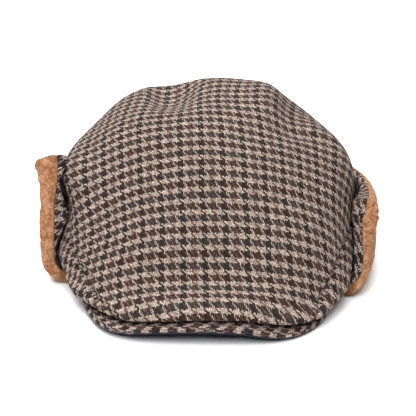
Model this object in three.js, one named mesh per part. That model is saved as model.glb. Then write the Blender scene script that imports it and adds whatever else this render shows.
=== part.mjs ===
// A winter flat cap in checked wool with a short peak and one fleece-lined flap that runs round
// the sides and back and is folded up. Millimetres, +Z up, the peak points along -Y, and the cap
// stands on z = 0 on the flap's folded edge and on the two low corners of the peak.
import * as THREE from "three";

// ---- driving dimensions ----
const GAP = 0.4; // clearance between neighbouring pieces
const SEAM_GAP = 0.8; // clearance along the crown's seams
const CLOTH = 2.5; // crown wall: wool cloth with its lining
const FLAP_CLOTH = 3.6; // wool side of the flap, with its interlining
const FLEECE = 8; // fleece side of the flap
const PEAK_BOARD = 4.2; // covered board of the peak
const PEAK_UNDER = 1.2; // cloth under the peak
const PEAK_RIM = 7; // width of the peak that shows in front of the crown
const CENTRE_Y = 14.5; // centre of the head opening, about which the plan outlines are drawn

// Plan outlines: superellipses about the centre of the head opening. half: half width. front, back:
// how far they reach that way. full: 2 is an ellipse, more is squarer.
const OPENING = { half: 84, front: 100, back: 96, full: 2 };
const PEAK = { half: 88.5, front: 149, back: 149, full: 3.1 };
const FLAP = { half: 118, front: 165, back: 120, full: 2.4 };

// The top panel is lofted through these sections, from the seam on the peak to the seam at the back.
// y, z: the section's point on the centre line. half, sweep, drop: how far its ends lie out to the
// side, behind that point and below it. full: 2 is an ellipse, more is squarer. turn: how many
// degrees round that superellipse its ends lie; at 90 they are upright.
const TOP_SECTIONS = [
  { name: "seam on the peak", y: -127.5, z: 16, half: 56, sweep: 16.5, drop: 9, full: 3.1, turn: 34.5 },
  { name: "nose", y: -126, z: 19.5, half: 60, sweep: 19, drop: 10, full: 2.9, turn: 40 },
  { name: "top of the nose", y: -118, z: 25.5, half: 67, sweep: 22, drop: 11.5, full: 2.7, turn: 49 },
  { name: "ledge", y: -102.5, z: 30, half: 75, sweep: 19, drop: 11.5, full: 2.6, turn: 59 },
  { name: "foot of the rise", y: -90.5, z: 35.5, half: 82, sweep: 19, drop: 12.5, full: 2.6, turn: 66 },
  { name: "brow", y: -78.5, z: 50, half: 87, sweep: 19, drop: 21, full: 2.5, turn: 74 },
  { name: "front slope", y: -55.5, z: 72, half: 93, sweep: 15, drop: 35.5, full: 2.5, turn: 82 },
  { name: "upper slope", y: -34.5, z: 91.5, half: 98, sweep: 13, drop: 49.5, full: 2.6, turn: 86 },
  { name: "front crest", y: -12.5, z: 107, half: 100.5, sweep: 12, drop: 61.5, full: 2.7, turn: 88 },
  { name: "top, front", y: 11.5, z: 116, half: 101.5, sweep: 10, drop: 69, full: 2.75, turn: 88 },
  { name: "top, middle", y: 39.5, z: 121, half: 101, sweep: 8, drop: 73, full: 2.5, turn: 88 },
  { name: "back crest", y: 65.5, z: 124, half: 95, sweep: 4, drop: 74, full: 2.2, turn: 88 },
  { name: "back slope", y: 86.5, z: 117, half: 87, sweep: 0, drop: 66, full: 2.2, turn: 88 },
  { name: "lower back slope", y: 102, z: 100, half: 78, sweep: -6, drop: 48, full: 2.3, turn: 84 },
  { name: "back", y: 111, z: 79, half: 67, sweep: -9, drop: 25, full: 2.4, turn: 78 },
  { name: "seam at the back", y: 114.5, z: 57, half: 56, sweep: -9, drop: 2, full: 2.4, turn: 70 },
];
const LEDGE = 3 / 15; // where the ledge lies in that table, as a share of its length
const TWIST = 4.6; // degrees by which the panel is sewn round to the right at the peak
const TWIST_END = 6.5 / 15; // share of its length over which that dies away
const LEAN = 2.4; // the soft top leans this far to the left
const LEAN_FROM = 55; // from this height
const LEAN_TO = 82; // to this one

// Soft dents (height below 0) and ridges of the top panel: the middle, the half length and half
// width of the bell-shaped patch, and the turn of its length from the Y axis towards +X, in degrees.
const FOLDS = [
  { name: "hollow left of the middle", x: -24, y: 47, along: 34, across: 14, turn: 0, height: -6 },
  { name: "left shoulder", x: -48, y: 52, along: 32, across: 9, turn: 0, height: 1.5 },
  { name: "hollow beyond the left shoulder", x: -79, y: 38, along: 42, across: 15, turn: 0, height: -4.5 },
  { name: "right shoulder", x: 38, y: 50, along: 34, across: 11, turn: 0, height: 2.5 },
  { name: "hollow beyond the right shoulder", x: 64, y: 40, along: 40, across: 20, turn: 0, height: -6 },
  { name: "slanting hollow on the right", x: 72, y: 10, along: 34, across: 9, turn: 60, height: -2.5 },
];

// The side panels swell out above the hem: a row for each place. at: degrees round the cap from the
// front. puff: how far out the cloth is drawn there as it leaves the hem.
const SIDE_PLACES = [
  { name: "tip on the peak", at: 26, puff: 3 },
  { name: "corner", at: 42, puff: 27 },
  { name: "temple", at: 58, puff: 36 },
  { name: "in front of the flap", at: 74, puff: 26 },
  { name: "side", at: 90, puff: 20 },
  { name: "rear", at: 135, puff: 16 },
  { name: "back", at: 180, puff: 7 },
];
const HEM_LEAVES = 50; // degrees round from the front at which the hem starts to leave the peak
const HEM_ON_FLAP = 58; // by here it has climbed onto the flap's fold
const HEM_AT_OPENING = 80; // and by here it is at the head opening
const HEM_RISE = 0.25; // slope at which the cloth leaves the hem
const SEAM_PULL = 0.38; // share of a side panel's width over which it runs on straight from the seam

// The folded-up flap: a row for each place along it. at: degrees round the cap from the front, by
// the +X side. height: of its rim. lean: how far the rim tips outwards.
const FLAP_PLACES = [
  { name: "right front edge", at: 61, height: 64, lean: 1.5 },
  { name: "right lobe", at: 92, height: 56.5, lean: 1 },
  { name: "right rear", at: 135, height: 54, lean: 1 },
  { name: "back", at: 180, height: 54, lean: 0 },
  { name: "left rear", at: 225, height: 54, lean: 0 },
  { name: "left lobe", at: 264, height: 64, lean: 1 },
  { name: "left front edge", at: 293.5, height: 89, lean: 0 },
];
const FOLD_RADIUS = 20; // outer radius of the fold at the foot of the flap
const EDGE_SLANT = 11; // degrees by which the flap's front edges lie further back at the rim
const RIM_ROUND = 5; // the fleece is this much thinner at the rim
const RIM_LENGTH = 14; // and thins over this much of its height
const FLAP_COLUMNS = 32;
const FOOT_ROWS = 2;
const FOLD_ROWS = 4;
const WALL_ROWS = 5;
const WALL_SPREAD = 1.5; // above 1, the wall's rows lie closer together towards the rim

// ---- helpers ----

const smooth = (x) => x * x * (3 - 2 * x);
const share = (x, from, to) => Math.min(Math.max((x - from) / (to - from), 0), 1);
const mix = (a, b, f) => a + (b - a) * f;
const range = (count) => Array.from({ length: count + 1 }, (_, k) => k / count);

const degrees = THREE.MathUtils.degToRad;

// Catmull-Rom value of one column of a table at u from 0 (first row) to 1 (last row).
function column(rows, key, u) {
  const along = Math.min(Math.max(u, 0), 1) * (rows.length - 1);
  const i = Math.min(Math.floor(along), rows.length - 2);
  const f = along - i;
  const value = (k) => rows[Math.min(Math.max(k, 0), rows.length - 1)][key];
  const [a, b, c, d] = [value(i - 1), value(i), value(i + 1), value(i + 2)];
  return b + (f * (c - a + f * (2 * a - 5 * b + 4 * c - d + f * (3 * (b - c) + d - a)))) / 2;
}

// Distance of a plan outline from the centre at an angle round the cap from the front, in radians.
function radius(outline, angle, grow = 0) {
  const { half, front, back, full } = outline;
  const reach = Math.cos(angle) > 0 ? front : back;
  const sum =
    Math.abs(Math.sin(angle) / (half + grow)) ** full + Math.abs(Math.cos(angle) / (reach + grow)) ** full;
  return sum ** (-1 / full);
}

const around = (angle, r, z) => new THREE.Vector3(r * Math.sin(angle), CENTRE_Y - r * Math.cos(angle), z);

// Unit normals of a grid of points, to the side from which rows run up and columns run right.
function gridNormals(points) {
  const rows = points.length;
  const cols = points[0].length;
  return points.map((row, i) =>
    row.map((_, j) => {
      const alongRows = points[Math.min(i + 1, rows - 1)][j].clone().sub(points[Math.max(i - 1, 0)][j]);
      const alongCols = row[Math.min(j + 1, cols - 1)].clone().sub(row[Math.max(j - 1, 0)]);
      return alongCols.cross(alongRows).normalize();
    }),
  );
}

// Grid points moved along their normals.
function offsetGrid(points, distance) {
  const normals = gridNormals(points);
  return points.map((row, i) => row.map((p, j) => p.clone().addScaledVector(normals[i][j], distance)));
}

// A closed solid between an outer grid and an inner one of the same size.
function solidBetween(outer, inner) {
  const rows = outer.length;
  const cols = outer[0].length;
  const out = (i, j) => i * cols + j;
  const inn = (i, j) => rows * cols + i * cols + j;
  const index = [];
  const quad = (a, b, c, d) => index.push(a, b, c, a, c, d);
  for (let i = 0; i < rows - 1; i++)
    for (let j = 0; j < cols - 1; j++) {
      quad(out(i, j), out(i, j + 1), out(i + 1, j + 1), out(i + 1, j));
      quad(inn(i, j), inn(i + 1, j), inn(i + 1, j + 1), inn(i, j + 1));
    }
  for (let i = 0; i < rows - 1; i++) {
    quad(out(i, 0), out(i + 1, 0), inn(i + 1, 0), inn(i, 0));
    quad(out(i, cols - 1), inn(i, cols - 1), inn(i + 1, cols - 1), out(i + 1, cols - 1));
  }
  for (let j = 0; j < cols - 1; j++) {
    quad(out(0, j), inn(0, j), inn(0, j + 1), out(0, j + 1));
    quad(out(rows - 1, j), out(rows - 1, j + 1), inn(rows - 1, j + 1), inn(rows - 1, j));
  }
  const geometry = new THREE.BufferGeometry();
  const positions = [...outer.flat(), ...inner.flat()].flatMap((p) => [p.x, p.y, p.z]);
  geometry.setAttribute("position", new THREE.Float32BufferAttribute(positions, 3));
  geometry.setIndex(index);
  geometry.computeVertexNormals();
  return geometry;
}

// ---- peak ----

const PEAK_ARCH = 9.3; // the middle of the front edge stands this far above the corners
const ARCH_HALF = 74; // the arch comes down to the floor this far from the middle
const PEAK_RISE = 0.07; // rise of the peak's middle for each millimetre behind its front edge
const PEAK_TURN = degrees(56); // its ends lie this far round from the front
const PEAK_BEVEL = 1.5; // its upper edge is rounded by this much
const UNDER_INSET = 0.6; // the cloth under it stops this far inside its edge
const PEAK_ROWS = 4;
const PEAK_COLUMNS = 26;

// Height of the peak's lowest face over a plan point.
function peakHeight(x, y) {
  const away = Math.min(Math.abs(x) / ARCH_HALF, 1);
  const arch = (PEAK_ARCH * (1 + Math.cos(Math.PI * away))) / 2;
  return arch + (y - CENTRE_Y + PEAK.front) * PEAK_RISE * (1 - smooth(away));
}
const peakTop = (x, y) => peakHeight(x, y) + PEAK_UNDER + GAP + PEAK_BOARD;

// One face of the peak, a height above its lowest one and cut back at the outer edge.
function peakFace(height, cutBack) {
  return range(PEAK_ROWS).map((v) =>
    range(PEAK_COLUMNS).map((u) => {
      const angle = mix(-PEAK_TURN, PEAK_TURN, u);
      const edge = radius(PEAK, angle, v === 0 ? -cutBack : 0);
      const p = around(angle, mix(edge, radius(OPENING, angle), v), 0);
      return p.setZ(peakHeight(p.x, p.y) + height);
    }),
  );
}

// ---- crown: top panel ----

// Point of the top panel's outer face: u runs from the peak to the back, v from -1 to 1 across it.
function topPoint(u, v) {
  const section = (key) => column(TOP_SECTIONS, key, u);
  const power = 2 / section("full");
  const turn = degrees(section("turn"));
  const out = Math.sin(Math.abs(v) * turn) ** power / Math.sin(turn) ** power;
  const fall = (1 - Math.cos(v * turn) ** power) / (1 - Math.cos(turn) ** power);
  const x = Math.sign(v) * out * section("half");
  const y = section("y") + section("sweep") * fall;
  const z = section("z") - section("drop") * fall;
  return new THREE.Vector3(x, y, z + foldHeight(x, y) * (1 - v ** 8));
}

// A point of the top panel slid round the nose's outline at the peak and leant over at the top.
function settled(p, u) {
  const angle = Math.atan2(p.x, CENTRE_Y - p.y);
  const onNose = 1 - smooth(share(u, 0, TWIST_END));
  const turned = angle + degrees(TWIST) * onNose;
  const reach = radius(PEAK, turned, -PEAK_RIM) / radius(PEAK, angle, -PEAK_RIM);
  const slid = around(turned, Math.hypot(p.x, CENTRE_Y - p.y) * mix(1, reach, onNose), p.z);
  return slid.setX(slid.x - LEAN * smooth(share(p.z, LEAN_FROM, LEAN_TO)));
}

// Height of the folds at a plan point: a bell curve along and across each.
function foldHeight(x, y) {
  let sum = 0;
  for (const fold of FOLDS) {
    const turn = degrees(fold.turn);
    const along = ((x - fold.x) * Math.sin(turn) + (y - fold.y) * Math.cos(turn)) / fold.along;
    const across = ((x - fold.x) * Math.cos(turn) - (y - fold.y) * Math.sin(turn)) / fold.across;
    sum += fold.height * Math.exp(-(along * along + across * across));
  }
  return sum;
}

// The panel's first row lies on the peak. What that takes off its height fades out to the ledge.
function makeTopGrid(rows, columns) {
  const frontRow = range(columns).map((s) => settled(topPoint(0, 2 * s - 1), 0));
  const seated = frontRow.map((p) => peakTop(p.x, p.y) + GAP - p.z);
  return range(rows).map((u) =>
    range(columns).map((s, j) => {
      const p = settled(topPoint(u, 2 * s - 1), u);
      return p.setZ(p.z + seated[j] * (1 - smooth(share(u, 0, LEDGE))));
    }),
  );
}

// The crown's inner faces stay clear of the peak below them.
function clearOfPeak(grid) {
  const front = CENTRE_Y - radius(OPENING, PEAK_TURN) * Math.cos(PEAK_TURN);
  return grid.map((row) =>
    row.map((p) => (p.y < front ? p.setZ(Math.max(p.z, peakTop(p.x, p.y) + GAP)) : p)),
  );
}

const TOP_ROWS = 32;
const TOP_COLUMNS = 22;
const topGrid = makeTopGrid(TOP_ROWS, TOP_COLUMNS);

function makeTopPanel() {
  return solidBetween(topGrid, clearOfPeak(offsetGrid(topGrid, -CLOTH)));
}

// ---- crown: side panels ----

const FOLD_TOP = FLEECE + GAP + FLAP_CLOTH; // upper face of the flap's fold
const SEAM_START = 3; // the side panels begin this many grid rows behind the seam on the peak
const SIDE_ROWS = 7;

// A grid seen in the mirror, left for right.
const mirrored = (grid) => grid.map((row) => row.map((p) => new THREE.Vector3(-p.x, p.y, p.z)).reverse());

// The right-hand seam, down the top panel's edge and along its back edge to the middle of the back,
// each point with the direction in which the cloth leaves it.
function seamPoints(grid) {
  const points = [];
  const leave = (edge, inside) => ({ at: edge, along: edge.clone().sub(inside).normalize() });
  for (let i = SEAM_START; i < TOP_ROWS; i++)
    points.push(leave(grid[i][TOP_COLUMNS], grid[i][TOP_COLUMNS - 1]));
  for (let j = TOP_COLUMNS; j >= TOP_COLUMNS / 2; j--)
    points.push(leave(grid[TOP_ROWS][j], grid[TOP_ROWS - 1][j]));
  return points;
}

// The hem at an angle round the cap: on the peak in front, on the flap's fold behind.
function hemPoint(angle) {
  const behind = smooth(share(angle, degrees(HEM_LEAVES), degrees(HEM_AT_OPENING)));
  const r = mix(radius(PEAK, angle, -PEAK_RIM), radius(OPENING, angle, CLOTH), behind);
  const p = around(angle, r, 0);
  const onFlap = smooth(share(angle, degrees(HEM_LEAVES), degrees(HEM_ON_FLAP)));
  return p.setZ(mix(peakTop(p.x, p.y), FOLD_TOP, onFlap) + GAP);
}

// Linear value of one column of a table whose rows give their place in degrees.
function placed(rows, key, angle) {
  const i = rows.findIndex((row) => degrees(row.at) > angle);
  if (i < 1) return rows[i < 0 ? rows.length - 1 : 0][key];
  return mix(rows[i - 1][key], rows[i][key], share(angle, degrees(rows[i - 1].at), degrees(rows[i].at)));
}

// One column of a side panel's outer face: a Bezier curve from the seam down to the hem.
function sideColumn({ at, along }, last) {
  const angle = last ? Math.PI : Math.atan2(at.x, CENTRE_Y - at.y);
  const hem = hemPoint(angle);
  const start = at.clone().addScaledVector(along, SEAM_GAP);
  const outward = new THREE.Vector3(Math.sin(angle), -Math.cos(angle), HEM_RISE);
  const curve = new THREE.CubicBezierCurve3(
    start,
    start.clone().addScaledVector(along, SEAM_PULL * start.distanceTo(hem)),
    hem.clone().addScaledVector(outward, placed(SIDE_PLACES, "puff", angle)),
    hem,
  );
  return range(SIDE_ROWS).map((t) => curve.getPoint(t));
}

// The right-hand panel, or the left-hand one worked out in the mirror.
function makeSidePanel(side) {
  const seam = seamPoints(side > 0 ? topGrid : mirrored(topGrid));
  const outer = seam.map((point, k) => sideColumn(point, k === seam.length - 1));
  const inner = clearOfPeak(offsetGrid(outer, -CLOTH));
  for (const grid of [outer, inner]) grid[grid.length - 1].forEach((p) => p.setX(SEAM_GAP / 2));
  return side > 0 ? solidBetween(outer, inner) : solidBetween(mirrored(outer), mirrored(inner));
}

// ---- flap ----

// A face of the flap, lying depth inside its outer one: in section along the floor from under the
// hem, round the fold and up the wall.
function flapFace(depth) {
  return range(FLAP_COLUMNS).map((u) => {
    const place = (key) => column(FLAP_PLACES, key, u);
    const height = place("height");
    const point = (inwards, z) => {
      const rise = z / height;
      const angle = degrees(place("at") + EDGE_SLANT * rise * (1 - 2 * u) ** 3);
      const thin = RIM_ROUND * share(z, height - RIM_LENGTH, height) ** 2 * (1 - share(depth, 0, FLEECE));
      return around(angle, inwards(angle) + place("lean") * rise ** 3 - thin, z);
    };
    const outer = (angle) => radius(FLAP, angle) - FOLD_RADIUS;
    const foot = range(FOOT_ROWS).slice(0, -1).map((s) =>
      point((angle) => mix(radius(OPENING, angle), outer(angle), s), depth));
    const fold = range(FOLD_ROWS).map((s) => {
      const turn = (s * Math.PI) / 2;
      const bend = FOLD_RADIUS - depth;
      return point((angle) => outer(angle) + bend * Math.sin(turn), FOLD_RADIUS - bend * Math.cos(turn));
    });
    const wall = range(WALL_ROWS).slice(1).map((s) =>
      point((angle) => outer(angle) + FOLD_RADIUS - depth, mix(height, FOLD_RADIUS, (1 - s) ** WALL_SPREAD)));
    return [...foot, ...fold, ...wall];
  });
}

// ---- materials and assembly ----

const wool = new THREE.MeshStandardMaterial({ color: 0x8c7a6e, roughness: 0.95, metalness: 0 });
const navy = new THREE.MeshStandardMaterial({ color: 0x232a38, roughness: 0.9, metalness: 0 });
const camel = new THREE.MeshStandardMaterial({ color: 0xc38654, roughness: 1, metalness: 0 });

const cap = new THREE.Group();
function add(name, geometry, material) {
  const mesh = new THREE.Mesh(geometry, material);
  mesh.name = name;
  cap.add(mesh);
}
const boardBase = PEAK_UNDER + GAP;
add("top_panel", makeTopPanel(), wool);
add("side_panel_right", makeSidePanel(1), wool);
add("side_panel_left", makeSidePanel(-1), wool);
add("peak", solidBetween(peakFace(boardBase + PEAK_BOARD, PEAK_BEVEL), peakFace(boardBase, 0)), wool);
add("peak_underside", solidBetween(peakFace(PEAK_UNDER, UNDER_INSET), peakFace(0, UNDER_INSET)), navy);
add("flap_cloth", solidBetween(flapFace(FOLD_TOP), flapFace(FLEECE + GAP)), wool);
add("flap_fleece", solidBetween(flapFace(FLEECE), flapFace(0)), camel);

export default cap;
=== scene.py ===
# %% [markdown]
# # A winter flat cap in checked wool
#
# This lesson builds a soft flat cap with a short stiff peak and a fleece-lined flap for ears and
# neck, folded up around the crown. It has three parts: surfaces worked out with numpy, a weave that
# follows them, and a plain studio. Lengths in the tables are millimetres, and every mesh is turned
# into metres as it is made.

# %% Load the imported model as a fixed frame
import math

import bpy
import numpy as np
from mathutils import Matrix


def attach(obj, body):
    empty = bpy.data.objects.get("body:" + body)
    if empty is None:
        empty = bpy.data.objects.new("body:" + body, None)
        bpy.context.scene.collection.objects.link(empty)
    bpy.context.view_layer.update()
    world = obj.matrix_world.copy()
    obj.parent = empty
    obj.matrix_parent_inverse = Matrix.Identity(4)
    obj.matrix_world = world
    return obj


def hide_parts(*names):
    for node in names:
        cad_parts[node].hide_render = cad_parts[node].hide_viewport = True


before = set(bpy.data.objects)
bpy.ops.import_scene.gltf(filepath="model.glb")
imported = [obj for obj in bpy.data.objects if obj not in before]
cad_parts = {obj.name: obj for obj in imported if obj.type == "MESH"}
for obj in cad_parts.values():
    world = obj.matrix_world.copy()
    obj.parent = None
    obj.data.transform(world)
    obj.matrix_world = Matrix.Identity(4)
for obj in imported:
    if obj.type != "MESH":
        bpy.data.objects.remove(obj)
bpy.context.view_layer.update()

MM = 0.001  # metres in a millimetre
ROOT = "root"  # the cap has no joints, so every piece rides on one body


def add_object(name, data):
    made = bpy.data.objects.new(name, data)
    bpy.context.collection.objects.link(made)
    return made


# %% [markdown]
# ## The camera
#
# The camera comes first, because every later choice is judged through it. It stands well back with
# a long lens, a little above the cap and a touch to its left, and looks at a point in the middle of
# the crown. Azimuth turns it round the cap, elevation lifts it above the floor.

# %% Camera
LOOK_AT = np.array([-1.0, -2.5, 48.7])
AZIMUTH = math.radians(2.5)
ELEVATION = math.radians(20.0)
DISTANCE = 1431.0
LENS = 176.7  # mm, on a sensor 36 mm wide


def add_camera():
    """The camera's place is the target plus the distance along the view direction turned back."""
    data = bpy.data.cameras.new("studio_camera")
    data.lens, data.sensor_width, data.clip_end = LENS, 36.0, 20.0
    camera = add_object("studio_camera", data)
    back = np.array([math.sin(AZIMUTH) * math.cos(ELEVATION),
                     -math.cos(AZIMUTH) * math.cos(ELEVATION),
                     math.sin(ELEVATION)])
    camera.location = (LOOK_AT + DISTANCE * back) * MM
    camera.rotation_euler = (math.pi / 2 - ELEVATION, 0, AZIMUTH)
    bpy.context.scene.camera = camera
    return camera


print("camera at", [round(x, 3) for x in add_camera().location])


# %% [markdown]
# ## The pattern: how the cap is cut
#
# A hat maker works from a paper pattern, and these numbers are one. The top panel is described by
# sections across it, like the ribs of a boat: each row gives a point on the middle line, how wide
# the rib is, how far its ends hang down and sweep back, and how square it is.

# %% The pattern's dimensions
GAP = 0.4  # between neighbouring layers
CLOTH = 2.5  # crown wall with its lining
FLAP_CLOTH = 3.6  # wool side of the flap
FLEECE = 8.0  # its other side
PEAK_BOARD = 3.6  # covered board of the peak
PEAK_UNDER = 1.2  # room for the cloth under it
PEAK_RIM = 7.0  # width of the peak in front of the crown
CENTRE_Y = 14.5  # centre of the head opening

# Plan outlines about that centre: half width, reach forward and back, squareness (2: an ellipse).
OPENING = (84.0, 100.0, 96.0, 2.0)
PEAK = (88.5, 149.0, 149.0, 3.1)
FLAP = (118.0, 165.0, 120.0, 2.4)

TOP_SECTIONS = np.array([
    # y, z, half width, sweep, drop, squareness, turn of the ends in degrees
    (-127.5, 16, 56, 16.5, 9, 3.1, 34.5),  # seam on the peak
    (-126, 19.5, 60, 19, 10, 2.9, 40),  # nose
    (-118, 25.5, 67, 22, 11.5, 2.7, 49),  # top of the nose
    (-102.5, 30, 75, 19, 11.5, 2.6, 59),  # ledge
    (-90.5, 35.5, 82, 19, 12.5, 2.6, 66),  # foot of the rise
    (-78.5, 50, 87, 19, 21, 2.5, 74),  # brow
    (-55.5, 72, 93, 15, 35.5, 2.5, 82),  # front slope
    (-34.5, 91.5, 98, 13, 49.5, 2.6, 86),  # upper slope
    (-12.5, 107, 100.5, 12, 61.5, 2.7, 88),  # front crest
    (11.5, 116, 101.5, 10, 69, 2.75, 88),  # top, front
    (39.5, 121, 101, 8, 73, 2.5, 88),  # top, middle
    (65.5, 124, 95, 4, 74, 2.2, 88),  # back crest
    (86.5, 117, 87, 0, 66, 2.2, 88),  # back slope
    (102, 100, 78, -6, 48, 2.3, 84),  # lower back slope
    (111, 79, 67, -9, 25, 2.4, 78),  # back
    (114.5, 57, 56, -9, 2, 2.4, 70),  # seam at the back
])
LEDGE = 3 / 15  # where the ledge lies, as a share of the table
TWIST, TWIST_END = 4.6, 6.5 / 15  # the panel is sewn round by this many degrees at the peak
LEAN, LEAN_FROM, LEAN_TO = 2.4, 55.0, 82.0  # the soft top leans to the left above a height

FOLDS = np.array([
    # x, y, half length, half width, turn in degrees, height
    (-24, 47, 34, 14, 0, -6),  # hollow left of the middle
    (-48, 52, 32, 9, 0, 1.5),  # left shoulder
    (-79, 38, 42, 15, 0, -4.5),  # hollow beyond it
    (38, 50, 34, 11, 0, 2.5),  # right shoulder
    (64, 40, 40, 20, 0, -6),  # hollow beyond it
    (72, 10, 34, 9, 60, -2.5),  # slanting hollow on the right
])

# Hollows and swellings left by handling, which follow no seam.
SWELLS = np.array([
    # x, y, z, reach across, along and up, height
    (-97, 2, 74, 30, 34, 12, 5.5),  # left, out over the flap's rim
    (-97, -16, 51, 30, 30, 9, -2.5),  # left, drawn in below it
    (-98, -30, 24, 30, 26, 10, 3.4),  # left side panel, sagging
    (-98, -57, 15, 24, 15, 10, -2.8),  # left corner, drawn in
    (-34, 60, 117, 20, 20, 30, -6.2),  # top, left of the middle
    (-32, 34, 114, 17, 15, 30, -3),  # the same, nearer the front
    (-30, 7, 112, 24, 8, 30, 1.2),  # its front lip
    (0, 64, 120, 75, 22, 30, -0.9),  # back crest
    (-68, 58, 106, 20, 30, 20, 1.2),  # left shoulder
    (-48, 52, 117, 7, 26, 30, 1.5),  # where it turns over
    (42, 46, 116, 8, 30, 30, 2.6),  # right shoulder
    (56, 20, 107, 12, 24, 30, -2.6),  # slack beyond it
    (66, 50, 104, 18, 30, 12, -1.8),  # flatter beyond
    (97, 12, 76, 30, 36, 13, 5),  # right, above the flap
    (10, -101, 31, 62, 9, 12, -1.2),  # ledge
    (10, -86, 40, 62, 9, 12, 0.8),  # foot of the slope above
    (88, -72, 14, 16, 22, 10, 1.8),  # right corner
])

# How far the crown is pushed out over the peak, at degrees round from the front.
NOSE_PUSH = np.array([
    (-60, 0), (-52, 3), (-42, 4.2), (-36, 3), (-32, 1.8), (-28, 1.8), (-24, 2.4), (-20, 3.8),
    (-16, 4.6), (-10, 5.4), (-4, 4.4), (2, 2.8), (8, 2.8), (16, 2), (20, 2.4), (24, 6.2), (28, 8.6),
    (32, 10), (36, 10), (40, 6), (45, 2), (50, 0),
])
NOSE_FROM = np.array([0.0, -20.0, 0.0])  # it is pushed level, away from this point
NOSE_FADE = (3.0, 14.0)  # heights above the hem where the push dies away

SIDE_PUFF = np.array([
    # degrees round from the front, how far the cloth is drawn out above the hem
    (26, 2), (36, 5), (43, 18), (50, 30), (58, 36), (74, 26), (90, 20), (135, 16), (180, 7),
], float)
# Where the hem leaves the peak, is up on the flap's fold, and at the head opening.
HEM_LEAVES, HEM_ON_FLAP, HEM_AT_OPENING = np.radians([50.0, 58.0, 80.0])
HEM_RISE = 0.25  # slope at which the cloth leaves the hem
SEAM_PULL = 0.38  # share of its width over which a side panel runs straight on from the seam
SEAM_START = 0.3  # the panel starts this far beyond the top panel's edge
SEAM_GAP_HALF = 0.05  # it stops this far from the middle of the back
BIAS = math.radians(-60.0)  # the warp's turn from level, seen from outside
FULLNESS = 1.25  # the panel is gathered: cloth in its depth for each unit of surface
TURNING = 8.0  # width of the wool turned inside at a seam
TURNED_WALL, WALL_FADE = 0.9, (0.5, 9.0)  # thickness at an edge, and where it grows to full
MOST_LIFT = 0.8  # the inner face may be lifted this far off the peak

FLAP_PLACES = np.array([
    # degrees round from the front by the wearer's left, height and lean of the rim
    (61, 64, 1.5), (92, 56.5, 1.6), (135, 54, 1), (180, 54, 0),
    (225, 54, 0), (264, 64, 1), (293.5, 89, 0),
])
# What the flap's front ends add to its plain section: at heights, how much further in its outer
# face, the join of fleece and wool, and its inner face lie.
RIGHT_END = np.array([
    (5, 2, 0, 0.3), (10, 3.2, 0, 0.3), (20, 4.2, 0, 3.2), (30, 4.4, 0.3, 4),
    (40, 3.2, 1.9, 5.2), (50, 0.9, 3, 6), (58, 0.2, 0.9, 4.4), (64, 1.2, 0.8, 2.6),
])
LEFT_END = np.array([
    (5, 0, 0.3, -1), (10, 0, 0.6, -1.4), (18, 0, 1.1, -2.1), (27, -0.5, 1.1, -1),
    (36, -0.8, 1.4, 3.6), (46, -0.7, 1.7, 8.5), (57, 0, 1.8, 5.2), (68, -0.3, 3.8, 1.8),
    (76, -2.5, 4.5, 4.6), (81, -6.8, 4.5, 6.8), (86, -7.2, 4, 8.8), (89, -7.4, 3, 9.2),
])
END_REACH = 0.055  # share of the flap over which an end's own shape dies away
RIGHT_WIDE = 1.8  # the right end's outer face is drawn in over a stretch this much longer
RIM_SLACK = 4.8  # how far the wool along the rim of the right end hangs in over the crown
SLACK_AT, SLACK_FADE = 0.04, (44.0, 58.0)  # half the place where it is most; its heights
RIGHT_FOOT = 3.5  # degrees further forward at the foot of the right end
FOOT_FADE = 25.0  # height by which that is gone
FOLD_RADIUS = 20.0  # outer radius of the fold at the flap's foot
FLAP_GRAIN = math.radians(32.0)  # the flap's wool is turned by this much to its edge
EDGE_SLANT = 11.0  # degrees by which the front edges lie further back at the rim
RIM_ROUND, RIM_LENGTH = 5.0, 14.0  # how much thinner the fleece is at its rim, over a length

PEAK_ARCH, ARCH_HALF = 9.3, 74.0  # height and half width of the peak's arch in front
PEAK_RISE = 0.07  # slope of the peak's middle behind its front edge
PEAK_LIFT = 2.0  # the left corner stands this much off the floor
LIFT_FADE = (5.0, 60.0)  # where the lift grows, left of the middle
WAVES = np.array([(29, 14, 1.6), (-30, 12, 0.8)])  # x, reach and height of its unevenness
PEAK_TURN = math.radians(56.0)  # the peak's ends lie this far round from the front
PEAK_CORNERS = np.array([
    # degrees round from the front, reach in degrees, how much fuller
    (-25, 8, 1.3), (26, 6, 1.3), (37, 7, 2.8),
])
print("pattern with", len(TOP_SECTIONS), "sections and", len(FOLDS), "folds")


# %% [markdown]
# ## Small tools
#
# A soft shape is easiest to describe as a function of two parameters on a grid. These helpers read
# tables smoothly, follow the plan outlines, measure cloth along a grid, and make noise that is the
# same each time the lesson runs.

# %% Reading tables and outlines
def smooth(x):
    """Eases from 0 to 1: three x squared less two x cubed."""
    return x * x * (3 - 2 * x)


def share(x, low, high):
    """How far x is from low to high, held between 0 and 1."""
    return np.clip((x - low) / (high - low), 0, 1)


def mix(a, b, f):
    return a + (b - a) * f


def bell(distance, reach):
    """e to minus the square of the distance over the reach."""
    return np.exp(-(distance / reach) ** 2)


def crowd_ends(s, power):
    """Moves values between -1 and 1 towards the ends: one less (one less s) to a power."""
    return np.sign(s) * (1 - (1 - np.abs(s)) ** power)


def cubic_through(place, last, pick):
    """Catmull-Rom: a cubic through the four values nearest to a place from 0 to last."""
    i = np.minimum(np.floor(place).astype(int), last - 1)
    f = place - i
    a, b, c, d = (pick(np.clip(i + k, 0, last)) for k in (-1, 0, 1, 2))
    return b + f * (c - a + f * (2 * a - 5 * b + 4 * c - d + f * (3 * (b - c) + d - a))) / 2


def read_table(values, u):
    """The smooth value of a column at u, which runs from 0 at its first row to 1 at its last."""
    last = len(values) - 1
    return cubic_through(np.clip(u, 0, 1) * last, last, lambda i: values[i])


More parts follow.
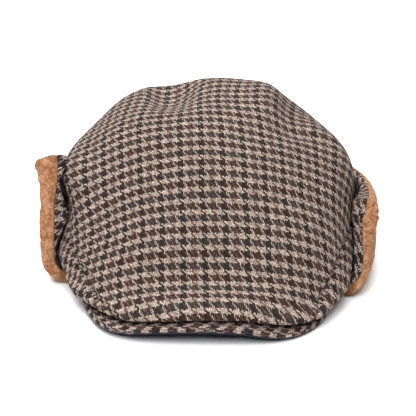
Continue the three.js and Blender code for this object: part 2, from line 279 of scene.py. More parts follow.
def radius(outline, angle, grow=0.0):
    """Superellipse: |sin/half| and |cos/reach|, each to the squareness, add up to r to minus it."""
    half, front, back, full = outline
    reach = np.where(np.cos(angle) > 0, front, back)
    return (np.abs(np.sin(angle) / (half + grow)) ** full
            + np.abs(np.cos(angle) / (reach + grow)) ** full) ** (-1 / full)


def around(angle, r, z):
    """Point at an angle round the head opening's centre, from the front by the +X side."""
    x, y = r * np.sin(angle), CENTRE_Y - r * np.cos(angle)
    return np.stack(np.broadcast_arrays(x, y, z), -1)


# %% Measuring and bending grids
def unit(v):
    return v / np.maximum(np.linalg.norm(v, axis=-1, keepdims=True), 1e-9)


def outward(grid):
    """Unit normals: the way along the columns crossed with the way along the rows."""
    return unit(np.cross(np.gradient(grid, axis=1), np.gradient(grid, axis=0)))


def lengths(grid, axis):
    """Distance travelled along the grid from its first line."""
    steps = np.linalg.norm(np.diff(grid, axis=axis), axis=-1)
    first = np.zeros_like(np.take(steps, [0], axis))
    return np.concatenate([first, np.cumsum(steps, axis)], axis)


def roll(distance, depth, reach):
    """How far cloth dips as it turns in at a seam: depth at the seam, gone after reach."""
    return -depth * bell(distance, reach)


# %% Noise that never changes
def hashed(cells, seed):
    """A number from 0 to 1 for each whole cell: the fractional part of a large sine."""
    turn = cells @ np.array([127.1, 311.7, 74.7]) + 19.19 * seed
    return np.modf(np.abs(np.sin(turn)) * 43758.5453)[0]


def soft_noise(p, size, seed):
    """Smooth noise from -1 to 1: hashed corners of a lattice, eased between them in x, y and z."""
    q = p / size
    cell = np.floor(q)
    f = smooth(q - cell)
    total = np.zeros(p.shape[:-1])
    for corner in np.ndindex(2, 2, 2):
        weight = np.prod(np.where(corner, f, 1 - f), -1)
        total += weight * hashed(cell + corner, seed)
    return 2 * total - 1


def locks_far(p, size, seed):
    """Distance to the nearest of scattered points, one to each cell of a lattice, up to 1."""
    q = p / size
    cell = np.floor(q)
    nearest = np.full(p.shape[:-1], 9.0)
    for step in np.ndindex(3, 3, 3):
        at = cell + np.array(step) - 1
        middle = at + np.stack([hashed(at, seed + k) for k in (0, 5, 9)], -1)
        nearest = np.minimum(nearest, ((q - middle) ** 2).sum(-1))
    return np.minimum(np.sqrt(nearest), 1)


# %% Turning grids into meshes
def grid_faces(numbers):
    """Quads of a grid of point numbers, seen from where columns run right and rows run up."""
    corners = numbers[:-1, :-1], numbers[:-1, 1:], numbers[1:, 1:], numbers[1:, :-1]
    return np.stack(corners, -1).reshape(-1, 4)


def add_shell(name, outer, inner, uv, materials, turning=None):
    """A closed wall between an outer grid and an inner one, joined round the edge. The first
    material covers the face side, the edge and the turning, the last the rest of the inside."""
    n = outer[..., 0].size
    grid = np.arange(n).reshape(outer.shape[:2])
    edge = np.concatenate([grid[0, :-1], grid[:-1, -1], grid[-1, :0:-1], grid[:0:-1, 0]])
    turned = np.roll(edge, -1)
    wall = np.stack([edge, edge + n, turned + n, turned], -1)
    face_side = grid_faces(grid)
    faces = np.concatenate([face_side, face_side[:, ::-1] + n, wall])
    finish = np.zeros(len(faces), np.int32)
    inside = slice(len(face_side), 2 * len(face_side))
    finish[inside] = len(materials) - 1
    if turning is not None:
        finish[inside] *= ~turning[:-1, :-1].ravel()
    points = np.concatenate([outer.reshape(n, 3), inner.reshape(n, 3)]) * MM
    flat = np.concatenate([uv.reshape(n, 2)] * 2)[faces.ravel()]

    mesh = bpy.data.meshes.new(name)
    for material in materials:
        mesh.materials.append(material)
    mesh.vertices.add(len(points))
    mesh.loops.add(faces.size)
    mesh.polygons.add(len(faces))
    for part, key, values in (
        (mesh.vertices, "co", points.astype(np.float32)),
        (mesh.loops, "vertex_index", faces.astype(np.int32)),
        (mesh.polygons, "loop_start", np.arange(0, faces.size, 4, dtype=np.int32)),
        (mesh.polygons, "use_smooth", np.ones(len(faces), bool)),
        (mesh.polygons, "material_index", finish),
    ):
        part.foreach_set(key, values.ravel())
    mesh.uv_layers.new(name="cloth").uv.foreach_set("vector", flat.astype(np.float32).ravel())
    mesh.update(calc_edges=True)
    mesh.validate()
    print(name, len(faces) * 2, "triangles")
    return add_object(name, mesh)


# %% [markdown]
# ## The wool
#
# The cloth is a houndstooth: warp threads run along the cap and weft threads across it, both in
# bands of four light and four dark, and a two-over-two twill decides which one shows. The pattern
# needs no picture: thread numbers come from the surface's own map, where one unit is a repeat of
# sixteen threads. The warp's dark bands are brown and black in turn, the weft's reddish brown and
# charcoal, which gives the check its larger windows.

# %% Node helpers
def new_finish(name, colour, roughness, specular, sheen=0.0):
    """A material with a Principled shader, its constants set on the shader's own sockets."""
    material = bpy.data.materials.new(name)
    material.use_nodes = True
    material.diffuse_color = full = (*colour, 1)
    shader = material.node_tree.nodes["Principled BSDF"]
    for key, value in (("Base Color", full), ("Roughness", roughness),
                       ("Specular IOR Level", specular), ("Sheen Weight", sheen)):
        shader.inputs[key].default_value = value
    return material, material.node_tree, shader


def put(tree, kind, *values, out=0, **settings):
    """Adds a node, sets it up, fills its sockets in order and returns an output."""
    node = tree.nodes.new(kind)
    for key, value in settings.items():
        setattr(node, key, value)
    for socket, value in zip(node.inputs, values):
        fill(tree, socket, value)
    return node.outputs[out]


def fill(tree, socket, value):
    """Links a socket to another one, or sets it to a constant."""
    if isinstance(value, bpy.types.NodeSocket):
        tree.links.new(value, socket)
    else:
        socket.default_value = value


def calc(tree, operation, first, *rest):
    """A maths node, or a chain of them from the last value back."""
    if len(rest) > 1:
        rest = [calc(tree, operation, *rest)]
    return put(tree, "ShaderNodeMath", first, *rest, operation=operation)


def plus(tree, *values):
    return calc(tree, "ADD", *values)


def times(tree, *values):
    return calc(tree, "MULTIPLY", *values)


def blend_colours(tree, factor, a, b):
    blend = put(tree, "ShaderNodeMix", factor, data_type="RGBA").node
    for key, value in (("A_Color", a), ("B_Color", b)):
        fill(tree, next(s for s in blend.inputs if s.identifier == key), value)
    return next(s for s in blend.outputs if s.identifier == "Result_Color")


def scale_colour(tree, colour, factor):
    none = (0, 0, 0)
    return put(tree, "ShaderNodeVectorMath", colour, none, none, factor, operation="SCALE")


def colour_ramp(tree, place, stops, interpolation="LINEAR"):
    """Colour at a place from 0 to 1, by stops that are each a position and a colour."""
    colour = put(tree, "ShaderNodeValToRGB", place)
    ramp = colour.node.color_ramp
    ramp.interpolation = interpolation
    while len(ramp.elements) < len(stops):
        ramp.elements.new(1.0)
    for element, (position, stop) in zip(ramp.elements, stops):
        element.position, element.color = position, (*stop, 1)
    return colour


def cloth_axes(tree):
    """Both coordinates of the map that follows the cloth."""
    cloth = put(tree, "ShaderNodeUVMap", uv_map="cloth")
    return put(tree, "ShaderNodeSeparateXYZ", cloth).node.outputs[:2]


def emboss(tree, shader, height, strength, distance):
    """Shades a surface as if it stood up by a height of 0 to 1 times a distance in metres."""
    bump = put(tree, "ShaderNodeBump", strength, distance)
    tree.links.new(height, bump.node.inputs["Height"])
    tree.links.new(bump, shader.inputs["Normal"])


def grain(tree, place, scale, detail=2.0, roughness=0.5):
    """Noise from 0 to 1 at a place, with scale in cells for each metre."""
    return put(tree, "ShaderNodeTexNoise", place, 0.0, scale, detail, roughness)


def stretch(tree, value, new_low, new_high, low=0.0, high=1.0):
    return put(tree, "ShaderNodeMapRange", value, low, high, new_low, new_high)


def spread(tree, noise, low, high):
    """Stretches the middle of a noise, where nearly all of it lies, to a new range."""
    return stretch(tree, noise, low, high, 0.3, 0.7)


# %% Dyed yarns
LIGHT_WARP, BROWN, BLACK = (0.28, 0.222, 0.191), (0.074, 0.042, 0.032), (0.004, 0.003, 0.003)
LIGHT_WEFT, RED_BROWN, CHARCOAL = (0.271, 0.213, 0.182), (0.026, 0.01, 0.008), (0.021, 0.015, 0.014)
WARP_YARNS = [LIGHT_WARP, BROWN, LIGHT_WARP, BLACK]
WEFT_YARNS = [LIGHT_WEFT, RED_BROWN, LIGHT_WEFT, CHARCOAL]
THREADS = 16.0  # in one repeat, each way
TWILL = 4.0  # threads in the weave: two over, two under
BAND_SHIFT = 2.5  # it centres the first band beside thread 0
REPEAT_ACROSS, REPEAT_ALONG = 14.4, 17.1  # mm
THREAD_WANDER = 0.34  # how far a thread strays to either side, in threads
WEFT_CROWDING = 0.3  # threads that the light weft gives up to the dark one, whose bands show wider
OVER_LIGHT, OVER_DARK = 0.48, 0.25  # half width of the warp that shows over each, in threads
FLOAT_END = 0.35  # height of a yarn at the ends of its float, where 1 is the middle
# Darkest and lightest shade by a yarn's height, its dye, its fibres and the wool's heather.
# The height's range is painted shade: the hollows between the yarns are coloured darker.
PAINTED_HOLLOW_SHADE, DYE_SHADE = (0.34, 1.22), (0.62, 1.38)
FIBRE_SHADE, HEATHER_SHADE = (0.50, 1.52), (0.28, 1.74)
FUZZ, FUZZ_COLOUR = 0.03, (0.18, 0.13, 0.105, 1)


def band_place(tree, thread, threads):
    """How far a thread lies through a run of threads, from 0 to 1."""
    return calc(tree, "FRACT", calc(tree, "DIVIDE", plus(tree, thread, BAND_SHIFT), threads))


def yarn_bands(tree, thread, yarns):
    """Colour of a numbered thread: four of each yarn in turn."""
    stops = [(k / len(yarns), yarn) for k, yarn in enumerate(yarns)]
    return colour_ramp(tree, band_place(tree, thread, THREADS), stops, "CONSTANT")


# %% Houndstooth wool
def make_check_wool():
    """The warp shows where thread number across plus thread number along plus 2, modulo 4, is
    under 2. That centres the diagonal of each mixed square of the check."""
    material, tree, shader = new_finish("check_wool", (0.155, 0.115, 0.097), 0.92, 0.12)
    u, v = cloth_axes(tree)
    here = put(tree, "ShaderNodeTexCoord", out=3)
    wander, sway = (stretch(tree, noise, -THREAD_WANDER, THREAD_WANDER, 0.25, 0.75)
                    for noise in (grain(tree, here, 420.0), grain(tree, here, 520.0, 1.0)))
    across = plus(tree, times(tree, u, THREADS), wander)
    even = plus(tree, times(tree, v, THREADS), sway)
    crowd = calc(tree, "SINE", times(tree, even, 4 * math.pi / THREADS))
    along = plus(tree, even, times(tree, crowd, WEFT_CROWDING))
    warp_number, weft_number = calc(tree, "FLOOR", across), calc(tree, "FLOOR", along)
    over = calc(tree, "FLOORED_MODULO", plus(tree, warp_number, weft_number, 2.0), TWILL)
    dark_weft = calc(tree, "GREATER_THAN", band_place(tree, weft_number, THREADS / 2), 0.5)
    half_width = stretch(tree, dark_weft, OVER_LIGHT, OVER_DARK)
    off_middle = calc(tree, "ABSOLUTE", calc(tree, "SUBTRACT", calc(tree, "FRACT", across), 0.5))
    warp_shows = times(tree, calc(tree, "LESS_THAN", over, 1.5),
                       calc(tree, "LESS_THAN", off_middle, half_width))
    colour = blend_colours(tree, warp_shows, yarn_bands(tree, weft_number, WEFT_YARNS),
                           yarn_bands(tree, warp_number, WARP_YARNS))

    # Each yarn is round across and dips at both ends of its float, two threads long.
    def float_height(cross, length_place, shift):
        rounded = calc(tree, "SINE", times(tree, calc(tree, "FRACT", cross), math.pi))
        turn = calc(tree, "FLOORED_MODULO", calc(tree, "SUBTRACT", length_place, shift), TWILL)
        dip = calc(tree, "SINE", times(tree, turn, math.pi / 2))
        return times(tree, calc(tree, "POWER", rounded, 0.6), stretch(tree, dip, FLOAT_END, 1.0))

    warp_height = float_height(across, plus(tree, warp_number, along), -2.0)
    weft_height = float_height(along, plus(tree, weft_number, across), 0.0)
    height = plus(tree, times(tree, warp_height, warp_shows),
                  times(tree, weft_height, calc(tree, "SUBTRACT", 1.0, warp_shows)))

    # Fibres of both yarns blur the edges, and no two threads dye alike.
    crossing = put(tree, "ShaderNodeCombineXYZ", warp_number, weft_number, 0.0)
    dye = put(tree, "ShaderNodeTexWhiteNoise", crossing, noise_dimensions="2D")
    fibres, heather = grain(tree, here, 2600.0, 3.0, 0.7), grain(tree, here, 1050.0, 3.0, 0.7)
    # Painted shade darkens hollows between yarns; dye, fibres and heather are the wool's own tone.
    shade = times(tree, stretch(tree, height, *PAINTED_HOLLOW_SHADE),
                  stretch(tree, dye, *DYE_SHADE), spread(tree, fibres, *FIBRE_SHADE),
                  spread(tree, heather, *HEATHER_SHADE))
    hairy = blend_colours(tree, FUZZ, scale_colour(tree, colour, shade), FUZZ_COLOUR)
    tree.links.new(hairy, shader.inputs["Base Color"])
    emboss(tree, shader, plus(tree, height, times(tree, fibres, 0.9)), 0.55, 0.0003)
    return material


check_wool = make_check_wool()
print("wool nodes", len(check_wool.node_tree.nodes))


# %% [markdown]
# ## The navy cloth
#
# The underside of the peak and the lining are a plain navy cotton. Hardly any of it shows, but a
# part is also looked at from below, so it gets a fine weave: two crossed sets of ridges.

# %% Navy cotton
NAVY = (0.011, 0.014, 0.028)
RIDGES = 40  # in one unit of the map


def make_navy_cloth():
    """Ridges are sines of the cloth map, and the two directions are multiplied."""
    material, tree, shader = new_finish("navy_cloth", NAVY, 0.85, 0.25, 0.1)
    here = put(tree, "ShaderNodeTexCoord", out=3)
    weave = times(tree, *(calc(tree, "SINE", times(tree, axis, RIDGES * 2 * math.pi))
                          for axis in cloth_axes(tree)))
    slubs = grain(tree, here, 350.0, 3.0, 0.6)
    # The ridges' dips are coloured darker as painted shade; the slubs are the cotton's own tone.
    tone = times(tree, stretch(tree, weave, 0.75, 1.2, -1.0, 1.0), spread(tree, slubs, 0.8, 1.25))
    tree.links.new(scale_colour(tree, NAVY, tone), shader.inputs["Base Color"])
    emboss(tree, shader, weave, 0.4, 0.00012)
    return material


navy_cloth = make_navy_cloth()
print("navy nodes", len(navy_cloth.node_tree.nodes))


# %% [markdown]
# ## The fleece
#
# The flap's warm side is a short camel pile, brushed and a little matted, so single hairs would be
# wrong. It reads as soft mottled lumps with darker hollows: the mesh itself carries the lumps, an
# attribute remembers how deep each point lies, and the shader paints shade into the hollows.

# %% Camel fleece
# The ramp's dark end is painted shade for the pile's hollows, mixed with its own mottle.
FLEECE_STOPS = [  # depth of the pile, from its hollows to its crests, and colour
    (0.12, (0.080, 0.027, 0.009)), (0.5, (0.224, 0.094, 0.041)), (0.86, (0.46, 0.265, 0.162)),
]


def make_camel_fleece():
    """Colour runs from painted shade in hollows to light crests by the mesh's crest attribute and
    noise.
    """
    material, tree, shader = new_finish("camel_fleece", (0.32, 0.14, 0.066), 0.95, 0.15, 0.12)
    here = put(tree, "ShaderNodeTexCoord", out=3)
    crest = put(tree, "ShaderNodeAttribute", out=2, attribute_name="crest")
    fibres = spread(tree, grain(tree, here, 620.0, 4.0, 0.75), 0.0, 1.0)
    mottle = spread(tree, grain(tree, here, 190.0, 3.0, 0.6), 0.0, 1.0)
    # The crest weight paints shade into hollows; fibres and mottle are the fleece's own tone.
    depth = plus(tree, *(times(tree, part, weight) for part, weight in
                         ((crest, 0.35), (fibres, 0.42), (mottle, 0.23))))
    tree.links.new(colour_ramp(tree, depth, FLEECE_STOPS), shader.inputs["Base Color"])
    emboss(tree, shader, depth, 0.8, 0.0007)
    shader.inputs["Sheen Roughness"].default_value = 0.4
    shader.inputs["Sheen Tint"].default_value = (1.0, 0.72, 0.5, 1)
    return material


camel_fleece = make_camel_fleece()
print("fleece nodes", len(camel_fleece.node_tree.nodes))


# %% [markdown]
# ## The peak
#
# The peak is a stiff board covered in the same wool, with navy cloth glued under it. It arches a
# little across the front, so its middle stands off the floor. Both layers are the same surface: a
# band from the outer outline in to the head opening. The wool one is plumped between its faces like
# a thin pillow, which rounds its rim.

# %% The peak's heights
def peak_height(x, y):
    """The lowest face: a cosine arch across, a rise to the back, and the left corner lifted."""
    away = np.minimum(np.abs(x) / ARCH_HALF, 1)
    arch = PEAK_ARCH * (1 + np.cos(np.pi * away)) / 2
    lift = PEAK_LIFT * smooth(share(-x, *LIFT_FADE))
    arch += (WAVES[:, 2] * bell(x[..., None] - WAVES[:, 0], WAVES[:, 1])).sum(-1)
    return arch + lift + (y - CENTRE_Y + PEAK[1]) * PEAK_RISE * (1 - smooth(away))


def peak_top(x, y):
    return peak_height(x, y) + PEAK_UNDER + GAP + PEAK_BOARD


def plump(edge_distance, rounding, least=0.1):
    """Share of full thickness near an edge: a quarter circle, full at the rounding radius."""
    gone = 1 - np.clip(edge_distance / rounding, 0, 1)
    return least + (1 - least) * np.sqrt(1 - gone * gone)


# %% Peak board and underside
def peak_band(rows, columns, inset):
    """Points from the outer outline (row 0) to the head opening, closer together at the rim."""
    angle = PEAK_TURN * crowd_ends(np.linspace(-1, 1, columns), 1.3)
    v = np.linspace(0, 1, rows)[:, None] ** 2
    at, reach, fuller = PEAK_CORNERS.T
    fuller = (fuller * bell(np.degrees(angle)[:, None] - at, reach)).sum(-1)
    r = mix(radius(PEAK, angle, -inset) + fuller, radius(OPENING, angle), v)
    p = around(angle, r, 0.0)
    p[..., 2] = peak_height(p[..., 0], p[..., 1])
    return p


def rim_distance(p):
    """Distance in from the rim and from both ends of a band."""
    inwards, along = lengths(p, 0), lengths(p, 1)
    return np.minimum(inwards, np.minimum(along, along[:, -1:] - along))


LINING_INSET, LINING_THICK = 1.8, 0.8  # of the cloth under the peak
PLAIN_REPEAT = 16.0  # mm to one unit in the map of a cloth without a check
band = peak_band(56, 260, 0.0)
cover_low, cover_high = 0.9, PEAK_UNDER + GAP + PEAK_BOARD
thick = plump(rim_distance(band), 2.8) * (cover_high - cover_low) / 2
middle = band + [0, 0, (cover_low + cover_high) / 2]
rise = np.stack([0 * thick, 0 * thick, thick], -1)
sideways, inwards = lengths(band, 1)[0] + 0 * thick, lengths(middle + rise, 0)
on_bias = np.stack([sideways + inwards, inwards - sideways], -1) * math.sqrt(0.5)
rim_cloth = on_bias / [REPEAT_ACROSS, REPEAT_ALONG]
peak = add_shell("peak_cover", middle + rise, middle - rise, rim_cloth, [check_wool])
under = peak_band(30, 160, LINING_INSET)
underside = add_shell("peak_lining", under + [0, 0, LINING_THICK], under,
                      under[..., :2] / PLAIN_REPEAT, [navy_cloth])


# %% [markdown]
# ## The crown's top panel
#
# One large panel runs from the peak over the head to a low seam at the back. On the pattern it is a
# row of sections, so the surface is a function of two parameters: u goes along the cap from row to
# row, and v across each section like an angle round a squared ellipse. Bell-shaped hollows and
# ridges are added where the cloth sinks between the crown's shoulders. The panel is sewn on crooked
# at the peak and leans to one side, as a hand-finished cap does.

# %% Top panel as a function of u and v
def fold_height(x, y):
    """Sum of bells: height times e to minus the scaled distance squared."""
    total = np.zeros(x.shape)
    for fx, fy, half_long, half_wide, turn, height in FOLDS:
        s, c = math.sin(math.radians(turn)), math.cos(math.radians(turn))
        along = ((x - fx) * s + (y - fy) * c) / half_long
        across = ((x - fx) * c - (y - fy) * s) / half_wide
        total += height * np.exp(-(along ** 2 + across ** 2))
    return total


def settle(p, u):
    """Slides a point round the nose near the peak, and leans it to the left at the top."""
    angle = np.arctan2(p[..., 0], CENTRE_Y - p[..., 1])
    on_nose = 1 - smooth(share(u, 0, TWIST_END))
    turned = angle + math.radians(TWIST) * on_nose
    reach = radius(PEAK, turned, -PEAK_RIM) / radius(PEAK, angle, -PEAK_RIM)
    away = np.hypot(p[..., 0], CENTRE_Y - p[..., 1]) * mix(1, reach, on_nose)
    slid = around(turned, away, p[..., 2])
    slid[..., 0] -= LEAN * smooth(share(p[..., 2], LEAN_FROM, LEAN_TO))
    return slid


def section_point(u, v):
    """A squared ellipse: sine to a power goes out to the side, one less cosine to a power falls."""
    y, z, half, sweep, drop, full, turn = (read_table(TOP_SECTIONS[:, k], u) for k in range(7))
    power, turn = 2 / full, np.radians(turn)
    out = (np.sin(np.abs(v) * turn) / np.sin(turn)) ** power
    fall = (1 - np.cos(v * turn) ** power) / (1 - np.cos(turn) ** power)
    x, y, z = np.sign(v) * out * half, y + sweep * fall, z - drop * fall
    return np.stack([x, y, z + fold_height(x, y) * (1 - v ** 8)], -1)


def top_point(u, v):
    """The settled section, its first row lifted onto the peak. The lift is gone at the ledge."""
    u, v = np.broadcast_arrays(u, v)
    p, front = settle(section_point(u, v), u), settle(section_point(0 * u, v), 0 * u)
    seat = peak_top(front[..., 0], front[..., 1]) + GAP - front[..., 2]
    p[..., 2] += seat * (1 - smooth(share(u, 0, LEDGE)))
    return p


# %% Cloth map of the top panel
# How far the check has crept from a plain unrolled map, at places across and along the cloth.
CREEP_REACH, CREEP_STEP = 120, 40  # to either side, and between places across
CREEP_LENGTH = 280.0  # from the first row to the last
CREEP_ACROSS = np.array([
    # 120 left, 80, 40, middle, 40, 80, 120 right
    (3.1, 5.8, 4.8, 3.2, 0.1, -5.4, -8),  # at the peak
    (-2.8, -1.1, -0.9, -1.5, -1.1, -1.7, -0.6),  # 40 mm up the cloth
    (-5.5, -9.7, -4.3, -2.9, -2.6, -0.6, 4.2),
    (-0.3, -6.6, -2.9, -2.1, -2.1, 3.4, 5.7),
    (1, -2.7, -0.2, 0.1, 1.8, 4.4, 1.7),
    (-0.4, -3.1, -2.6, 3.5, 6.2, 2.6, -4),
    (-0.2, -1.5, -1.3, 1.7, 3.1, 1.3, -2),
    (0, 0, 0, 0, 0, 0, 0),
])
CREEP_ALONG = np.array([
    (17.3, 9.7, 2.2, -2, 5.1, 16.6, 24.5),
    (9.4, 5.6, -0.2, -2, 0.4, 4.9, 11.3),
    (0.8, 7, -0.1, -2.5, -2.7, -2.5, -0.1),
    (-5.4, 6.2, 1.4, -2.7, -1.7, -3, -7.7),
    (-6.7, 5.3, 3.4, 0.1, 4.9, 0.7, -11.8),
    (-4.3, 6.9, 15.2, 3.4, 0.8, -12.5, -18.5),
    (-2.1, 5.5, 12, 2.8, 0.4, -7, -10),
    (0, 0, 0, 0, 0, 0, 0),
])


def creep(table, across, along):
    """Catmull-Rom both ways: each column of the table is read along, then the results across."""
    rows = np.stack([read_table(column, along / CREEP_LENGTH) for column in table.T], -1)
    place = (np.clip(across, -CREEP_REACH, CREEP_REACH) + CREEP_REACH) / CREEP_STEP
    return cubic_through(place, len(table.T) - 1,
                         lambda i: np.take_along_axis(rows, i[..., None], -1)[..., 0])


def turned_map(right, up, turn):
    """The map of a cloth cut at an angle: lengths to the right and up, turned, in repeats."""
    c, s = math.cos(turn), math.sin(turn)
    return np.stack([right * c + up * s, up * c - right * s], -1) / [REPEAT_ACROSS, REPEAT_ALONG]


def cloth_map(p):
    """Distance across from the middle line and along it, each with its creep, in repeats."""
    half = p.shape[1] // 2
    across = lengths(p, 1)
    across = across - across[:, half:half + 1]
    along = lengths(p[:, half:half + 1], 0) + 0 * across
    return np.stack([(across + creep(CREEP_ACROSS, across, along)) / REPEAT_ACROSS,
                     (along + creep(CREEP_ALONG, across, along)) / REPEAT_ALONG], -1)


# %% Soft surface of the crown, and the hem it ends in
SEAM_DIP = (1.1, 1.5)  # depth and reach of the dip into a seam
RIDGE_AT, RIDGE, RIDGE_REACH = 4.0, 0.35, 2.2  # the turned edge inside lifts the cloth beside it
PUCKER, PUCKER_STEP, PUCKER_REACH = 0.28, 10.5, 5.0
UNEVEN = ((0.75, 46.0, 1), (0.22, 15.0, 2))  # height, size and seed
OVER_PEAK = (50, 62)  # degrees round from the front over which the hem comes off the peak
# At the hem the cloth turns in, deeper over the peak, under a lip that stands out and sags.
HEM_DIP, HEM_DIP_PEAK, HEM_DIP_REACH = 1.5, 6.0, 2.2
LIP_ABOVE, LIP = 7.0, (2.6, 4.0)
SAG_ABOVE, SAG = 3.4, (0.6, 1.8)


def swelling(p):
    """Sum of bells in space: height times e to minus the scaled distance squared."""
    scaled = (p[..., None, :] - SWELLS[:, :3]) / SWELLS[:, 3:6]
    return (SWELLS[:, 6] * np.exp(-(scaled ** 2).sum(-1))).sum(-1)


def cloth_hand(p, seam_distance, above_hem):
    """How far the cloth stands from its smooth shape: rolled in at seams, puckered, uneven, and
    swollen or hollowed by handling."""
    along_seam = (lengths(p, 0) + lengths(p, 1)) / PUCKER_STEP
    pucker = PUCKER * np.sin(2 * np.pi * along_seam + 2 * soft_noise(p, 40.0, 3))
    hand = (roll(seam_distance, *SEAM_DIP) + RIDGE * bell(seam_distance - RIDGE_AT, RIDGE_REACH)
            + swelling(p) * smooth(share(above_hem, 0, 6))
            + pucker * bell(seam_distance - RIDGE_AT, PUCKER_REACH))
    for height, size, seed in UNEVEN:
        hand += height * soft_noise(p, size, seed)
    return hand


def hem_point(angle, side):
    """On the peak in front, and behind it on the flap's fold, at the head opening. The angle is
    never negative, and side is -1 on the left."""
    behind = smooth(share(angle, HEM_LEAVES, HEM_AT_OPENING))
    r = mix(radius(PEAK, angle, -PEAK_RIM), radius(OPENING, angle, CLOTH), behind)
    p = around(angle, r, 0.0)
    on_flap = smooth(share(angle, HEM_LEAVES, HEM_ON_FLAP))
    fold_top = FLEECE + GAP + FLAP_CLOTH
    p[..., 2] = mix(peak_top(side * p[..., 0], p[..., 1]), fold_top, on_flap) + GAP
    return p


def sewn(p, seam_distance, side=1):
    """The cloth with its hand along the normal. Low over the peak it is also pushed level and
    outwards, and at the hem it is drawn back under a soft lip. side is -1 for a mirrored grid."""
    where = p * [side, 1, 1]
    turned = np.arctan2(where[..., 0], CENTRE_Y - where[..., 1])
    above = p[..., 2] - hem_point(np.abs(turned), np.sign(turned))[..., 2]
    turned = np.degrees(turned)
    over_peak = 1 - smooth(share(np.abs(turned), *OVER_PEAK))
    push = np.interp(turned, *NOSE_PUSH.T) * (1 - smooth(share(above, *NOSE_FADE)))
    push += (roll(above, mix(HEM_DIP, HEM_DIP_PEAK, over_peak), HEM_DIP_REACH)
             - roll(above - LIP_ABOVE, *LIP) * over_peak)
    level = unit((p - NOSE_FROM) * [1, 1, 0])
    hand = cloth_hand(where, seam_distance, above)
    moved = p + outward(p) * hand[..., None] + level * push[..., None]
    moved[..., 2] += roll(above - SAG_ABOVE, *SAG) * over_peak
    return moved


def wall(distance):
    """Thickness of the crown, thinner where it is turned in at the peak and at its seams."""
    return mix(TURNED_WALL, CLOTH, smooth(share(distance, *WALL_FADE)))[..., None]


def clear_of_peak(p):
    """Lifts an inner face that would cut into the peak below it, by no more than MOST_LIFT."""
    front = CENTRE_Y - radius(OPENING, PEAK_TURN) * math.cos(PEAK_TURN)
    lowest = peak_top(p[..., 0], p[..., 1]) + GAP
    q, z = p.copy(), p[..., 2]
    q[..., 2] = np.where(p[..., 1] < front, np.clip(lowest, z, z + MOST_LIFT), z)
    return q


# %% Top panel
top_v = crowd_ends(np.linspace(-1, 1, 171), 1.25)
top_u = np.linspace(0, 1, 231)
crown = top_point(top_u[:, None], top_v[None])
crown_map = cloth_map(crown)
across, up = lengths(crown, 1), lengths(crown, 0)
side_seam = np.minimum(across, across[:, -1:] - across)
seams = np.minimum(side_seam, up[-1:] - up)
soft_crown = sewn(crown, seams)
lining = soft_crown - outward(crown) * wall(np.minimum(seams, up))
top_panel = add_shell("top_panel_cloth", soft_crown, clear_of_peak(lining), crown_map,
                      [check_wool, navy_cloth], np.minimum(seams, up) < TURNING)
print("cloth along the middle", round(float(up[-1, len(top_v) // 2])), "mm")


# %% [markdown]
# ## The side panels
#
# Each side panel is cut on the bias, hangs from the top panel's edge and is gathered into the hem
# round the head. In section it is a curve that leaves the seam in the direction of the top panel,
# swells outwards and turns in under itself to the hem. A Bezier curve with four points does that
# at each place along the seam.

# %% The seam
STEP_IN, STEP_BACK = 1 / 11, 1 / 32  # shares of the top panel that show its direction
SEAM_EASE = 9.0  # length over which it is averaged, to round the corner at the back


def seam_line(side, length_steps, back_steps):
    """The top panel's edge down one side and along its back to the middle, with the way the cloth
    leaves it. side is 1 or -1, and the result is given as if it were the right-hand one."""
    u = np.linspace(0, 1, length_steps)
    w = np.linspace(1, 0, back_steps)[1:]
    edge = np.concatenate([top_point(u, side + 0 * u), top_point(1 + 0 * w, side * w)])
    inside = np.concatenate([top_point(u, side * (1 - STEP_IN) + 0 * u),
                             top_point(1 - STEP_BACK + 0 * w, side * w)])
    mirror = np.array([side, 1, 1])
    return edge * mirror, unit((edge - inside) * mirror)


def eased(values, distance, reach):
    """A bell-weighted average along a line, which turns a sharp corner into a round one."""
    weight = bell(distance[:, None] - distance[None], reach)
    return weight @ values / weight.sum(1, keepdims=True)


# %% Side panel surface
def side_panel(side, rows):
    """Bezier from the seam to the hem: pulled on from the seam, and drawn out above the hem."""
    edge, leaving = seam_line(side, 190, 90)
    travelled = lengths(edge[None], 1)[0]
    leaving = unit(eased(leaving, travelled, SEAM_EASE))
    angle = np.arctan2(edge[:, 0], CENTRE_Y - edge[:, 1])
    angle = np.where(angle < 0, np.pi, angle)
    angle[-1] = np.pi
    hem = hem_point(angle, side)
    start = edge + leaving * SEAM_START
    reach = np.linalg.norm(hem - start, axis=1, keepdims=True)
    puff = np.interp(np.degrees(angle), *SIDE_PUFF.T)
    out = np.stack([np.sin(angle), -np.cos(angle), HEM_RISE + 0 * angle], -1)
    pulled, drawn = start + leaving * SEAM_PULL * reach, hem + out * puff[:, None]
    t = np.linspace(0, 1, rows)[:, None, None]
    t = smooth(t) * 0.5 + t * 0.5
    curve = ((1 - t) ** 3 * start + 3 * (1 - t) ** 2 * t * pulled
             + 3 * (1 - t) * t ** 2 * drawn + t ** 3 * hem)
    curve[:, -1, 0] = SEAM_GAP_HALF
    return curve.transpose(1, 0, 2), travelled


def add_side(side, name):
    panel, travelled = side_panel(side, 60)
    down = lengths(panel, 1)
    hem_distance = down[:, -1:] - down
    seam_distance = np.minimum(down, (travelled[-1] - travelled)[:, None])
    soft = sewn(panel, seam_distance, side)
    thin = np.minimum(np.minimum(seam_distance, hem_distance), travelled[:, None])
    inner = clear_of_peak(soft - outward(panel) * wall(thin))
    inner[-1, :, 0] = soft[-1, :, 0] = SEAM_GAP_HALF
    uv = turned_map(side * travelled[:, None] + 0 * down, -FULLNESS * down, BIAS)
    turning = thin < TURNING
    if side < 0:
        soft, inner, uv, turning = (g[::-1] for g in (soft, inner, uv, turning))
        soft, inner = soft * [-1, 1, 1], inner * [-1, 1, 1]
    return add_shell(name, soft, inner, uv, [check_wool, navy_cloth], turning)


